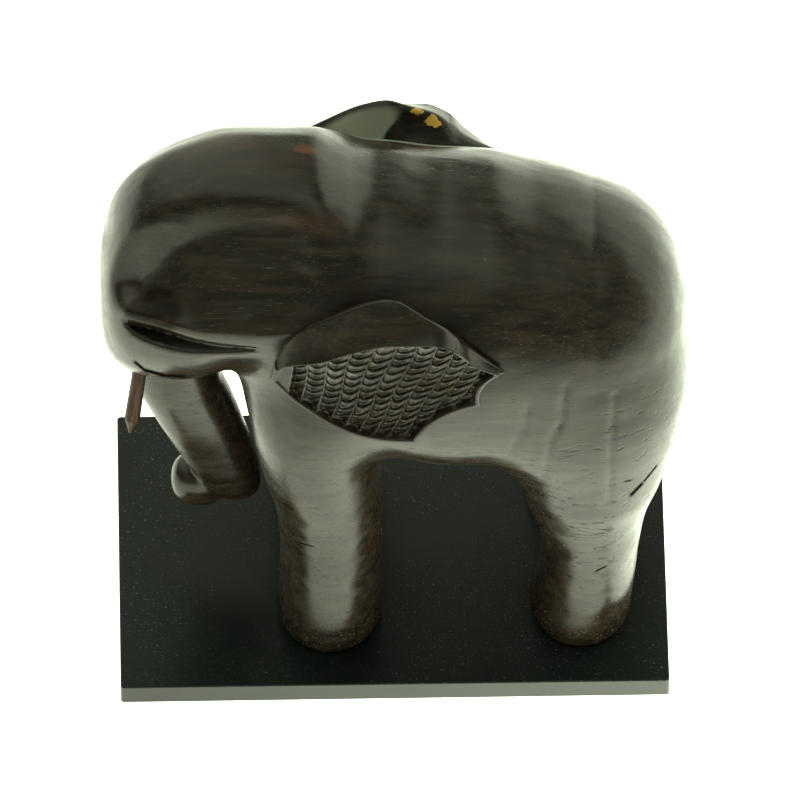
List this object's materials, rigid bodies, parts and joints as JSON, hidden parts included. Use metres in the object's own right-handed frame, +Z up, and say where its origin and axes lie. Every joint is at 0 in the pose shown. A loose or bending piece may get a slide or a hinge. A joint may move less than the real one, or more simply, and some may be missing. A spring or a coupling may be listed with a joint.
{
  "type": "elephant figurine",
  "caption": "Standing elephant carved from one dark wood block, with tusk pegs and gouge-cut ears, screwed from below to a flat rectangular board.",
  "frame": {"origin": "centre of the board's flat underside, with z = 0 in the rest plane", "axes": "+Z up; the elephant faces -X; +Y towards its right side; y = 0 is its plane of symmetry"},
  "size_m": [0.2323, 0.146, 0.2413],
  "materials": {
    "carved_wood": "dark stained and polished to a gloss",
    "tusk_wood": "reddish brown, satin",
    "painted_board": "black paint, satin, a little dusty",
    "screw_steel": "zinc-plated"
  },
  "bodies": {
    "root": {"carved_elephant": "carved_wood", "left_tusk": "tusk_wood", "right_tusk": "tusk_wood", "base_plate": "painted_board", "screw_front_left": "screw_steel", "screw_front_right": "screw_steel", "screw_rear_left": "screw_steel", "screw_rear_right": "screw_steel"}
  },
  "joints": []
}
